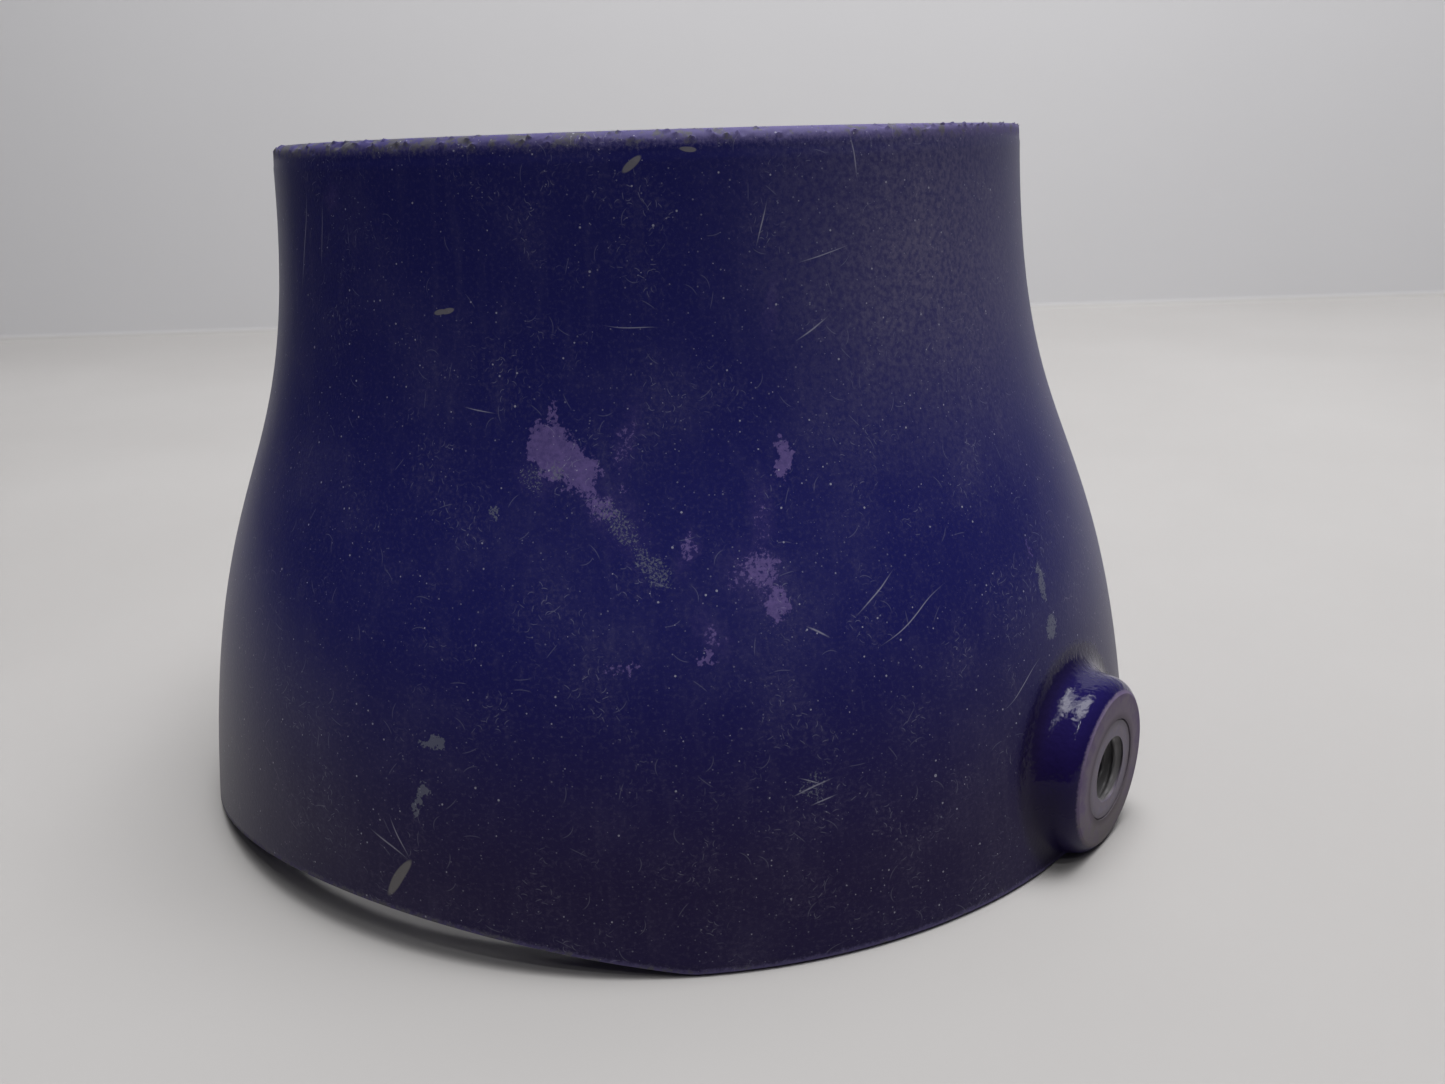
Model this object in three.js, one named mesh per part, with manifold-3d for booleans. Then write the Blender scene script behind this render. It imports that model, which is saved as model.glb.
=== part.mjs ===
// Steering nozzle shell of a small water jet: a bell with two pivot bosses, each with a threaded insert.
// Units are millimetres. +Z runs up the bell's axis, the wide rim stands on z = 0, and the bosses point
// along +X and -X.

import * as THREE from 'three';
import { mergeVertices } from 'three/addons/utils/BufferGeometryUtils.js';
import Module from 'manifold-3d';

// Bell
const RIM_RADIUS = 60.0; // outer radius at the wide rim
const OUTLET_RADIUS = 43.7; // outer radius at the narrow end
const HEIGHT = 75.7;
const RIM_WALL = 4.8; // wall at the wide rim
const OUTLET_WALL = 4.0; // wall at the outlet
const OUTLET_EDGE_RADIUS = 1.1; // rounding of the outlet's outer edge
const OUTLET_INNER_CHAMFER = 0.5;
const OUTLINE_STEPS = 14; // straight steps along each outline
const BELL_SEGMENTS = 72; // segments round the bell

// Pivot bosses
const BOSS_HEIGHT = 9.0; // boss axis above the wide rim
const BOSS_FACE = 62.2; // boss face, measured from the bell's axis
const BOSS_RADIUS = 10.0;
const BOSS_EDGE_RADIUS = 1.6; // rounding between a boss's side and its face
const BOSS_ROOT_RADIUS = 2.4; // fillet between a boss's side and the bell
const BOSS_SEGMENTS = 48;

// Threaded inserts, M8
const INSERT_RADIUS = 5.5;
const INSERT_GAP = 0.3; // between an insert and its pocket
const INSERT_RECESS = 0.1; // insert face below the boss face
const INSERT_LENGTH = 7.1;
const INSERT_CHAMFER = 0.35; // on the bore's mouths
const INSERT_GROOVE_DEPTH = 0.7; // groove that locks the insert in the plastic
const INSERT_GROOVE_WIDTH = 1.6;
const INSERT_SEGMENTS = 32;
const BORE_RADIUS = 3.37; // minor radius of the M8 thread

// Arches cut into the wide rim, one on each side between the bosses
const ARCH_RISE = 4.05;
const ARCH_HALF_CHORD = 34.4;
const ARCH_TURN = 7; // degrees from the middle between the bosses to the arch's crown
const ARCH_STEPS = 20;

// Extra length on each cutting solid, so that it reaches past the face that it cuts
const OVERCUT = 5;

const wasm = await Module();
wasm.setup();

const plastic = new THREE.MeshStandardMaterial({ color: 0x1d1d52, roughness: 0.42, metalness: 0.0 });
const insertMetal = new THREE.MeshStandardMaterial({ color: 0x635b6c, roughness: 0.5, metalness: 0.7 });

function toSolid(geometry) {
  const bare = geometry.clone();
  bare.deleteAttribute('normal');
  bare.deleteAttribute('uv');
  const merged = mergeVertices(bare, 1e-4);
  const mesh = new wasm.Mesh({
    numProp: 3,
    vertProperties: new Float32Array(merged.attributes.position.array),
    triVerts: new Uint32Array(merged.index.array),
  });
  return new wasm.Manifold(mesh);
}

function toGeometry(solid) {
  const mesh = solid.getMesh();
  const geometry = new THREE.BufferGeometry();
  geometry.setAttribute('position', new THREE.BufferAttribute(new Float32Array(mesh.vertProperties), 3));
  geometry.setIndex(new THREE.BufferAttribute(new Uint32Array(mesh.triVerts), 1));
  geometry.computeVertexNormals();
  return geometry;
}

function namedMesh(name, solid, material) {
  const mesh = new THREE.Mesh(toGeometry(solid), material.clone());
  mesh.name = name;
  return mesh;
}

// Points along a circle from one angle to another, in degrees.
function arcPoints(centreX, centreY, radius, fromAngle, toAngle, steps) {
  const points = [];
  for (let i = 0; i <= steps; i += 1) {
    const angle = THREE.MathUtils.degToRad(THREE.MathUtils.lerp(fromAngle, toAngle, i / steps));
    points.push(new THREE.Vector2(centreX + radius * Math.cos(angle), centreY + radius * Math.sin(angle)));
  }
  return points;
}

// A solid of revolution about +Z, from a profile of (radius, height) that starts and ends on the axis.
function turned(profile, segments) {
  return toSolid(new THREE.LatheGeometry(profile, segments).rotateX(Math.PI / 2));
}

// The same about the boss axis, with the profile's heights measured along +X from the bell's axis.
function turnedAboutBoss(profile, segments) {
  const geometry = new THREE.LatheGeometry(profile, segments);
  return toSolid(geometry.rotateZ(-Math.PI / 2).translate(0, 0, BOSS_HEIGHT));
}

// The bell's outer outline from the wide rim to the outlet: one S-shaped curve of (radius, height).
const outline = new THREE.CubicBezierCurve(
  new THREE.Vector2(RIM_RADIUS, 0),
  new THREE.Vector2(55.4, 44.3),
  new THREE.Vector2(45.1, 36.2),
  new THREE.Vector2(OUTLET_RADIUS, HEIGHT),
);

// A point of the inner outline, square to the outer one, behind a wall that thins towards the outlet.
function innerPoint(t) {
  const point = outline.getPoint(t);
  const tangent = outline.getTangent(t);
  const wall = THREE.MathUtils.lerp(RIM_WALL, OUTLET_WALL, t);
  return new THREE.Vector2(point.x - wall * tangent.y, point.y + wall * tangent.x);
}

function bellBody() {
  const edgeCentre = OUTLET_RADIUS - OUTLET_EDGE_RADIUS;
  const profile = [new THREE.Vector2(0, 0)];
  for (let i = 0; i < OUTLINE_STEPS; i += 1) {
    profile.push(outline.getPoint(i / OUTLINE_STEPS));
  }
  profile.push(...arcPoints(edgeCentre, HEIGHT - OUTLET_EDGE_RADIUS, OUTLET_EDGE_RADIUS, 0, 90, 4));
  profile.push(new THREE.Vector2(0, HEIGHT));
  return turned(profile, BELL_SEGMENTS);
}

// The water passage, open at both ends.
function passage() {
  const outletBore = OUTLET_RADIUS - OUTLET_WALL;
  const profile = [new THREE.Vector2(0, -OVERCUT), new THREE.Vector2(RIM_RADIUS - RIM_WALL, -OVERCUT)];
  profile.push(new THREE.Vector2(RIM_RADIUS - RIM_WALL, 0));
  for (let i = 1; i < OUTLINE_STEPS; i += 1) {
    profile.push(innerPoint(i / OUTLINE_STEPS));
  }
  profile.push(new THREE.Vector2(outletBore, HEIGHT - OUTLET_INNER_CHAMFER));
  profile.push(new THREE.Vector2(outletBore + OUTLET_INNER_CHAMFER + OVERCUT, HEIGHT + OVERCUT));
  profile.push(new THREE.Vector2(0, HEIGHT + OVERCUT));
  return turned(profile, BELL_SEGMENTS);
}

// A drum on +X with a rounded front edge and a fillet that runs out just inside the bell's skin.
function boss() {
  const skin = outline.getPoint(0.22).x; // the bell's radius beside the top of the fillet
  const rootCentre = skin + BOSS_ROOT_RADIUS;
  const edgeCentre = BOSS_RADIUS - BOSS_EDGE_RADIUS;
  const flareRadius = BOSS_RADIUS + BOSS_ROOT_RADIUS;
  const profile = [
    new THREE.Vector2(0, RIM_RADIUS / 2),
    new THREE.Vector2(flareRadius, RIM_RADIUS / 2),
    ...arcPoints(flareRadius, rootCentre, BOSS_ROOT_RADIUS, 270, 180, 4),
    ...arcPoints(edgeCentre, BOSS_FACE - BOSS_EDGE_RADIUS, BOSS_EDGE_RADIUS, 0, 90, 4),
    new THREE.Vector2(0, BOSS_FACE),
  ];
  return turnedAboutBoss(profile, BOSS_SEGMENTS);
}

function insertPocket() {
  const radius = INSERT_RADIUS + INSERT_GAP;
  const profile = [
    new THREE.Vector2(0, RIM_RADIUS / 2),
    new THREE.Vector2(radius, RIM_RADIUS / 2),
    new THREE.Vector2(radius, BOSS_FACE + OVERCUT),
    new THREE.Vector2(0, BOSS_FACE + OVERCUT),
  ];
  return turnedAboutBoss(profile, INSERT_SEGMENTS);
}

// The cutter of one arch: a flat round-topped lump across the wall on the -Y side, turned about +Z.
function archCutter(turn) {
  const radius = (ARCH_HALF_CHORD ** 2 + ARCH_RISE ** 2) / (2 * ARCH_RISE);
  const reach = THREE.MathUtils.radToDeg(Math.asin(ARCH_HALF_CHORD / radius));
  const points = arcPoints(0, ARCH_RISE - radius, radius, 90 - reach, 90 + reach, ARCH_STEPS);
  points.push(new THREE.Vector2(-ARCH_HALF_CHORD, -OVERCUT), new THREE.Vector2(ARCH_HALF_CHORD, -OVERCUT));
  const depth = RIM_RADIUS / 2;
  const geometry = new THREE.ExtrudeGeometry(new THREE.Shape(points), { depth, bevelEnabled: false });
  geometry.rotateX(Math.PI / 2);
  geometry.translate(0, depth - RIM_RADIUS - OVERCUT, 0);
  geometry.rotateZ(THREE.MathUtils.degToRad(turn));
  return toSolid(geometry);
}

// Everything below the plane of the wide rim, where the bosses are trimmed flush.
function floorCutter() {
  const size = 3 * RIM_RADIUS;
  return toSolid(new THREE.BoxGeometry(size, size, size).translate(0, 0, -size / 2));
}

function nozzleShell() {
  return bellBody()
    .add(boss())
    .add(boss().rotate([0, 0, 180]))
    .subtract(passage())
    .subtract(floorCutter())
    .subtract(archCutter(ARCH_TURN))
    .subtract(archCutter(ARCH_TURN + 180))
    .subtract(insertPocket())
    .subtract(insertPocket().rotate([0, 0, 180]));
}

// A tube with chamfered mouths and one locking groove half way along its outside.
function pivotInsert() {
  const front = BOSS_FACE - INSERT_RECESS;
  const back = front - INSERT_LENGTH;
  const middle = (front + back) / 2;
  const grooveRadius = INSERT_RADIUS - INSERT_GROOVE_DEPTH;
  const profile = [
    new THREE.Vector2(BORE_RADIUS + INSERT_CHAMFER, back),
    new THREE.Vector2(INSERT_RADIUS, back),
    new THREE.Vector2(INSERT_RADIUS, middle - INSERT_GROOVE_WIDTH / 2),
    new THREE.Vector2(grooveRadius, middle - INSERT_GROOVE_WIDTH / 2),
    new THREE.Vector2(grooveRadius, middle + INSERT_GROOVE_WIDTH / 2),
    new THREE.Vector2(INSERT_RADIUS, middle + INSERT_GROOVE_WIDTH / 2),
    new THREE.Vector2(INSERT_RADIUS, front),
    new THREE.Vector2(BORE_RADIUS + INSERT_CHAMFER, front),
    new THREE.Vector2(BORE_RADIUS, front - INSERT_CHAMFER),
    new THREE.Vector2(BORE_RADIUS, back + INSERT_CHAMFER),
  ];
  profile.push(profile[0].clone());
  return turnedAboutBoss(profile, INSERT_SEGMENTS);
}

const nozzle = new THREE.Group();
nozzle.add(namedMesh('nozzle_shell', nozzleShell(), plastic));
nozzle.add(namedMesh('pivot_insert_right', pivotInsert(), insertMetal));
nozzle.add(namedMesh('pivot_insert_left', pivotInsert().rotate([0, 0, 180]), insertMetal));

export default nozzle;
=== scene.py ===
# %% [markdown]
# # A steering nozzle shell in worn plastic
# This lesson builds one part of a small water-jet craft: a bell of dark violet plastic, open at both
# ends, with a round pivot boss on each side of its wide rim and a threaded metal insert in each boss.
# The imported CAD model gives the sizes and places. Blender gives the fine surface: true fillets, rounded
# and worn rims, real threads, and a finish with dust, scuffs and scratches.

# %% Load the frame
import math

import bmesh
import bpy
from mathutils import Matrix, Vector, noise


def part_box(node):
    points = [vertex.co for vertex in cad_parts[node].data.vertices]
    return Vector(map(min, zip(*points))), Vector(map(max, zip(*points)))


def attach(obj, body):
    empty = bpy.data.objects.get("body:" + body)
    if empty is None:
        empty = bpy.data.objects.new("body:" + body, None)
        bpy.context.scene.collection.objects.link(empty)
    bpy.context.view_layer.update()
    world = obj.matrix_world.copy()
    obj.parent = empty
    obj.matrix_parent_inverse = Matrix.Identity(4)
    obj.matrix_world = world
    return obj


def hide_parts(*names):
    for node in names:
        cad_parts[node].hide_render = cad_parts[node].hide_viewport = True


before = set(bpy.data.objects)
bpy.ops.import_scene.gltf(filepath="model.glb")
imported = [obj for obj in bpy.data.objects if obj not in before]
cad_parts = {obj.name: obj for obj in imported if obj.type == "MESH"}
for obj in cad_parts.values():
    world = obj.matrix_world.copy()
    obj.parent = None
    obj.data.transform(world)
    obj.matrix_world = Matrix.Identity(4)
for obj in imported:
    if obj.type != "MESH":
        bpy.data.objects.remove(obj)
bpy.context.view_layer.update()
MM = 0.001  # Blender works in metres, and this part is easier to think about in millimetres
print("CAD nodes:", sorted(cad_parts))

# %% [markdown]
# ## Sizes
# Heights and widths come from the frame. The bell's outline is the same S-shaped curve that the CAD
# model uses, a single cubic Bezier in (radius, height), because every other surface is placed from it.

# %% Sizes from the frame, and the bell's outline
shell_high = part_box("nozzle_shell")[1]
insert_low, insert_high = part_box("pivot_insert_right")
HEIGHT = shell_high.z
BOSS_FACE = shell_high.x
BOSS_HEIGHT = (insert_low.z + insert_high.z) / 2
INSERT_FRONT = insert_high.x
INSERT_BACK = insert_low.x

RIM_RADIUS = 60.0 * MM
OUTLET_RADIUS = 43.7 * MM
RIM_WALL = 4.8 * MM
OUTLET_WALL = 4.0 * MM
OUTLINE_STEPS = 400
OUTLINE = [Vector((RIM_RADIUS, 0)), Vector((55.4 * MM, 44.3 * MM)), Vector((45.1 * MM, 36.2 * MM))]
OUTLINE.append(Vector((OUTLET_RADIUS, HEIGHT)))


def outline_point(t, wall_at_rim=0.0, wall_at_outlet=0.0):
    """A point of the bell's outline, moved inwards by a wall that changes evenly from rim to outlet."""
    a, b, c, d = OUTLINE
    s = 1 - t
    point = a * s**3 + b * 3 * s * s * t + c * 3 * s * t * t + d * t**3
    tangent = ((b - a) * s * s + (c - b) * 2 * s * t + (d - c) * t * t).normalized()
    wall = wall_at_rim * s + wall_at_outlet * t
    return point + Vector((-tangent.y, tangent.x)) * wall


def radius_finder(wall_at_rim, wall_at_outlet):
    """Walks along the outline, and past both ends, and returns a function from height to radius."""
    first, last = round(-0.4 * OUTLINE_STEPS), round(1.3 * OUTLINE_STEPS)
    shares = [step / OUTLINE_STEPS for step in range(first, last + 1)]
    walk = [outline_point(share, wall_at_rim, wall_at_outlet) for share in shares]

    def radius(height):
        low, high = 0, len(walk) - 1
        while high - low > 1:
            middle = (low + high) // 2
            if walk[middle].y < height:
                low = middle
            else:
                high = middle
        share = (height - walk[low].y) / (walk[high].y - walk[low].y)
        return walk[low].x + (walk[high].x - walk[low].x) * share

    return radius


outer_radius = radius_finder(0, 0)
inner_radius = radius_finder(RIM_WALL, OUTLET_WALL)
for level in (0, 25, 50, 75):
    print(level, "mm up:", round(outer_radius(level * MM) / MM, 2), round(inner_radius(level * MM) / MM, 2))

# %% [markdown]
# ## Camera
# The camera stands low and close, a hand's width from the bell, with a moderately wide lens. It looks
# down by less than twenty degrees and is rolled a little, so the outlet rim is seen almost edge on.

# %% Camera
CAMERA_TURN = math.radians(39)  # how far the camera has walked round from the front, towards the right boss
CAMERA_PLACE = Vector((7.2, -155.3, 73.6)) * MM
CAMERA_TILT = math.radians(17.88)
CAMERA_ROLL = math.radians(-1.79)
SENSOR_WIDTH = 36
LENS = 30.1
camera = bpy.data.objects.new("camera", bpy.data.cameras.new("camera"))
bpy.context.scene.collection.objects.link(camera)
camera.data.sensor_width = SENSOR_WIDTH
camera.data.lens = LENS
camera.data.clip_start = 5 * MM
walk = Matrix.Rotation(CAMERA_TURN, 4, "Z")
look = Matrix.Rotation(math.pi / 2 - CAMERA_TILT, 4, "X") @ Matrix.Rotation(CAMERA_ROLL, 4, "Z")
camera.matrix_world = walk @ Matrix.Translation(CAMERA_PLACE) @ look
bpy.context.scene.camera = camera
bpy.context.scene.view_settings.view_transform = "Standard"
print("Camera at", [round(v, 4) for v in camera.matrix_world.translation])

# %% [markdown]
# ## Small helpers for edit mode
# An operator works on whatever is selected. These helpers make one piece active, clear the selection,
# and pick faces, edges or points by their place, which is what a hand does with the mouse.


# %% Helpers
def clear_selection():
    if bpy.context.object and bpy.context.object.mode == "EDIT":
        bpy.ops.object.mode_set(mode="OBJECT")
    bpy.ops.object.select_all(action="DESELECT")


def start_piece(name, add, **settings):
    """Adds a primitive with one of bpy.ops.mesh's own tools, and goes into edit mode with all selected."""
    clear_selection()
    add(**settings)
    piece = bpy.context.object
    piece.name = name
    piece.data.name = name
    bpy.ops.object.transform_apply(location=True, rotation=True, scale=True)
    bpy.ops.object.mode_set(mode="EDIT")
    bpy.ops.mesh.select_all(action="SELECT")
    return piece


def pick(piece, kind, test):
    """Selects the faces, edges or points of the piece in edit mode that pass a test."""
    bpy.ops.mesh.select_mode(type=kind)
    bpy.ops.mesh.select_all(action="DESELECT")
    mesh = bmesh.from_edit_mesh(piece.data)
    group = {"VERT": mesh.verts, "EDGE": mesh.edges, "FACE": mesh.faces}[kind]
    found = 0
    for item in group:
        if test(item):
            item.select_set(True)
            found += 1
    mesh.select_flush_mode()
    bmesh.update_edit_mesh(piece.data)
    return found


def apply_modifier(piece, kind, **settings):
    """Adds a modifier, sets it and applies it at once."""
    clear_selection()
    bpy.context.view_layer.objects.active = piece
    piece.select_set(True)
    modifier = piece.modifiers.new(kind.lower(), kind)
    for key, value in settings.items():
        setattr(modifier, key, value)
    bpy.ops.object.modifier_apply(modifier=modifier.name)


def centre_of(item):
    if isinstance(item, bmesh.types.BMEdge):
        return (item.verts[0].co + item.verts[1].co) / 2
    return item.calc_center_median()


# %% [markdown]
# ## The bell, ring by ring
# The real bell is moulded. Here it grows from one circle that is extruded ring by ring: up the outside
# along the outline, over the rounded outlet edge, and down the inside. It starts and ends a little below
# the rim's plane, so that bosses and rim can be trimmed in one clean cut later. The rings are few and
# even, because a Subdivision Surface makes the fine surface from them.

# %% Bell cage
COLUMNS = 72
SKIRT = -11 * MM  # where the rings start and end, below the rim's plane
EDGE_RADIUS = 1.1 * MM  # the outlet's outer edge
OUTER_ROWS = [-6, -1.6, 4, 9, 14, 19, 24, 29, 34, 39, 44, 49, 54, 59, 64, 68.5, 72, 73.9]
INNER_ROWS = [73.6, 70, 65, 60, 55, 50, 45, 40, 35, 30, 25, 20, 15, 10, 5, 0.8, -1.6, -6]

rings = [(outer_radius(SKIRT), SKIRT)]
rings += [(outer_radius(h * MM), h * MM) for h in OUTER_ROWS]
edge_centre = Vector((OUTLET_RADIUS - EDGE_RADIUS, HEIGHT - EDGE_RADIUS))
for degrees in (4, 32, 62, 88):
    angle = math.radians(degrees)
    on_edge = edge_centre + EDGE_RADIUS * Vector((math.cos(angle), math.sin(angle)))
    rings.append(tuple(on_edge))
bore = OUTLET_RADIUS - OUTLET_WALL
rings += [(bore + 1.7 * MM, HEIGHT), (bore + 0.6 * MM, HEIGHT), (bore + 0.12 * MM, HEIGHT - 0.15 * MM)]
rings += [(bore, HEIGHT - 0.7 * MM)]
rings += [(inner_radius(h * MM), h * MM) for h in INNER_ROWS]
rings += [(inner_radius(SKIRT), SKIRT)]


def extrude_ring(radius, height, last_radius, last_height):
    """Extrudes the selected circle of edges to a new radius and height."""
    bpy.ops.mesh.extrude_edges_move(TRANSFORM_OT_translate={"value": (0, 0, height - last_height)})
    grow = radius / last_radius
    bpy.ops.transform.resize(value=(grow, grow, 1), center_override=(0, 0, height))


bell = start_piece(
    "nozzle_bell",
    bpy.ops.mesh.primitive_circle_add,
    vertices=COLUMNS,
    radius=rings[0][0],
    location=(0, 0, rings[0][1]),
)
bpy.ops.mesh.select_mode(type="EDGE")
for ring, last_ring in zip(rings[1:], rings):
    extrude_ring(*ring, *last_ring)
print("Bell cage:", len(bmesh.from_edit_mesh(bell.data).faces), "faces")

# %% [markdown]
# ## The pivot bosses
# A boss is a short drum that melts into the bell with a fillet, and the fillet is what makes it look
# moulded and not stuck on. A square patch of the cage is opened, and its edge is extruded inwards in
# rings: two on the bell, four round the fillet, four round the drum's edge, and two on the flat face.
# Each ring's shape comes from the local slope of the bell, because the drum stands on a double curve.

# %% Boss rings
BOSS_RADIUS = 10.0 * MM
FACE_RADIUS = 8.47 * MM
FILLET_RADIUS = 2.3 * MM
FILLET_LEAST = 0.25 * MM
DRUM_LEAST = 0.1 * MM  # the straight side that is left at least, between the fillet and the rounded edge
EDGE_SWEEP = math.radians(70)  # the drum's rounded edge stops here, so its flat face keeps a crisp outline
BOSS_EDGE = (BOSS_RADIUS - FACE_RADIUS) / (1 - math.cos(EDGE_SWEEP))
EDGE_START = BOSS_FACE - BOSS_EDGE * math.sin(EDGE_SWEEP)
PATCH_COLUMNS = 3  # the opened patch reaches this many columns each side of the boss
PATCH_HALF_HEIGHT = 15 * MM
SKIN_RINGS = (14.4 * MM, 13.2 * MM)  # the two rings on the bell, outside the fillet
FACE_RINGS = (FACE_RADIUS - 0.4 * MM, 6.9 * MM)  # the two rings on the flat face
FILLET_SHARES = (0, 1 / 3, 2 / 3, 1)  # the rings round the fillet, and round the drum's edge
SKIN_DEPTH = 1.5 * MM  # a point less deep than this below the outline is on the outer skin
patch_angle = math.radians(360 / COLUMNS * PATCH_COLUMNS)


def skin_distance(spread, theta):
    """How far out the bell's outer skin is, at a distance and in a direction from the boss axis."""
    height = BOSS_HEIGHT + spread * math.sin(theta)
    across = spread * math.cos(theta)
    return math.sqrt(outer_radius(height) ** 2 - across**2)


def boss_section(theta):
    """The (distance from boss axis, distance from bell axis) points of every ring in one direction."""
    step = 0.5 * MM
    foot = BOSS_RADIUS + FILLET_RADIUS / 2
    skin = skin_distance(foot, theta)
    slope = (skin_distance(foot + step, theta) - skin_distance(foot - step, theta)) / (2 * step)
    steepness = math.sqrt(1 + slope * slope)
    room = EDGE_START - DRUM_LEAST - skin + slope * (foot - BOSS_RADIUS)
    fillet = max(FILLET_LEAST, min(FILLET_RADIUS, room / (slope + steepness)))
    centre = (BOSS_RADIUS + fillet, skin + slope * (BOSS_RADIUS + fillet - foot) + fillet * steepness)
    start = math.atan2(-1, slope) % (2 * math.pi)
    points = [(spread, skin_distance(spread, theta)) for spread in SKIN_RINGS]
    for share in FILLET_SHARES:
        angle = start + (math.pi - start) * share
        points.append((centre[0] + fillet * math.cos(angle), centre[1] + fillet * math.sin(angle)))
    for share in FILLET_SHARES:
        angle = EDGE_SWEEP * share
        around = BOSS_RADIUS - BOSS_EDGE * (1 - math.cos(angle))
        points.append((around, EDGE_START + BOSS_EDGE * math.sin(angle)))
    return points + [(spread, BOSS_FACE) for spread in FACE_RINGS]


RING_COUNT = len(boss_section(0.0))
FACE_EDGE_RING = RING_COUNT - 3


def beside_boss(place, side, margin):
    """True on the outer skin, inside the square patch round one boss."""
    turn = math.atan2(place.y * side, place.x * side)
    on_skin = math.hypot(place.x, place.y) > outer_radius(place.z) - SKIN_DEPTH
    in_height = abs(place.z - BOSS_HEIGHT) < PATCH_HALF_HEIGHT + margin
    return on_skin and in_height and abs(turn) < patch_angle + margin / RIM_RADIUS


def turn_on_boss(place, side):
    """The direction from the boss axis. The small slack keeps the first point of a ring from coming last."""
    return (math.atan2(place.z - BOSS_HEIGHT, place.y * side) + 0.02) % (2 * math.pi)


def model_boss(side):
    """Opens the patch on one side and extrudes its edge, ring by ring, up to the boss face."""
    pick(bell, "FACE", lambda face: beside_boss(centre_of(face), side, -MM))
    bpy.ops.mesh.delete(type="FACE")
    count = pick(bell, "EDGE", lambda edge: edge.is_boundary and beside_boss(centre_of(edge), side, MM))
    for ring_number in range(RING_COUNT):
        bpy.ops.mesh.extrude_edges_move()
        mesh = bmesh.from_edit_mesh(bell.data)
        ring = [point for point in mesh.verts if point.select]
        ring.sort(key=lambda point: turn_on_boss(point.co, side))
        for number, point in enumerate(ring):
            theta = 2 * math.pi * number / len(ring)
            spread, distance = boss_section(theta)[ring_number]
            across, up = side * spread * math.cos(theta), spread * math.sin(theta)
            point.co = (side * distance, across, BOSS_HEIGHT + up)
        bmesh.update_edit_mesh(bell.data)
        if ring_number == FACE_EDGE_RING:
            bpy.ops.transform.edge_crease(value=0.6)
    bpy.ops.mesh.edge_face_add()
    return count


for side in (1, -1):
    print("Boss on side", side, "grows from", model_boss(side), "edges")

# %% [markdown]
# ## The fine surface
# Subdivision rounds the cage but also pulls it in by a hair. So every point of the bell's outer skin is
# set back onto the exact outline, outside the bosses, and reflections then run clean round the bell.

# %% Subdivide, and set the skin back onto its outline
clear_selection()
apply_modifier(bell, "SUBSURF", levels=2, render_levels=2)
SMOOTH_RING = 12.6 * MM  # inside this distance from a boss axis the fillet's own shape stays
EDGE_START_HEIGHT = 73.5 * MM  # above this height the outlet's rounded edge keeps its own shape


def boss_distance(place):
    return math.hypot(place.y, place.z - BOSS_HEIGHT)


snapped = 0
for point in bell.data.vertices:
    place = point.co
    reach = math.hypot(place.x, place.y)
    skin = outer_radius(place.z)
    if place.z > EDGE_START_HEIGHT or reach < skin - SKIN_DEPTH:
        continue
    if boss_distance(place) < SMOOTH_RING and abs(place.x) > RIM_RADIUS / 2:
        continue
    place.x *= skin / reach
    place.y *= skin / reach
    snapped += 1
print("Points set back onto the outline:", snapped)

# %% [markdown]
# ## The outlet's worn edge
# The outlet's outer edge is rounded most of the way, but one stretch is still nearly sharp. Tiny chips and
# burrs run all along it. The subdivision's columns are too wide to show them, so the edge's faces are first
# cut into four across. Each point near the edge then moves a little, by seeded noise.

# %% Wear the outlet's edge
SHARP_RADIUS = 0.35 * MM  # the edge's radius where it is still sharp
SHARP_TURN = math.radians(27)  # polar angle of the middle of that stretch
SHARP_HALF = math.radians(22)  # it is sharp as far as this from the middle
ROUND_FROM = math.radians(52)  # and fully round again from here
BURR_HEIGHT = 0.28 * MM
CHIP_DEPTH = 0.3 * MM
WORN_DOWN = 2.5 * MM  # how far the wear reaches down the outside, and inwards over the end of the wall
WORN_INWARD = 1.4 * MM
SAME = 0.02 * MM


def smooth_step(value, low, high):
    share = min(1.0, max(0.0, (value - low) / (high - low)))
    return share * share * (3 - 2 * share)


def on_edge_ring(edge):
    """True for an edge that runs round the bell, near the outlet's rounded edge."""
    first, last = (point.co for point in edge.verts)
    high_up = min(first.z, last.z) > HEIGHT - 1.6 * MM
    far_out = first.xy.length > OUTLET_RADIUS - 2.2 * MM
    level = abs(first.xy.length - last.xy.length) < SAME and abs(first.z - last.z) < SAME
    return high_up and far_out and level


def rough_spots(spot, per_mm, rarity, height, seed=(0, 0, 0)):
    """A seeded bump of up to about a height, only where the noise is above its rarity."""
    return max(0.0, noise.noise(spot * per_mm + Vector(seed)) - rarity) * height


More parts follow.
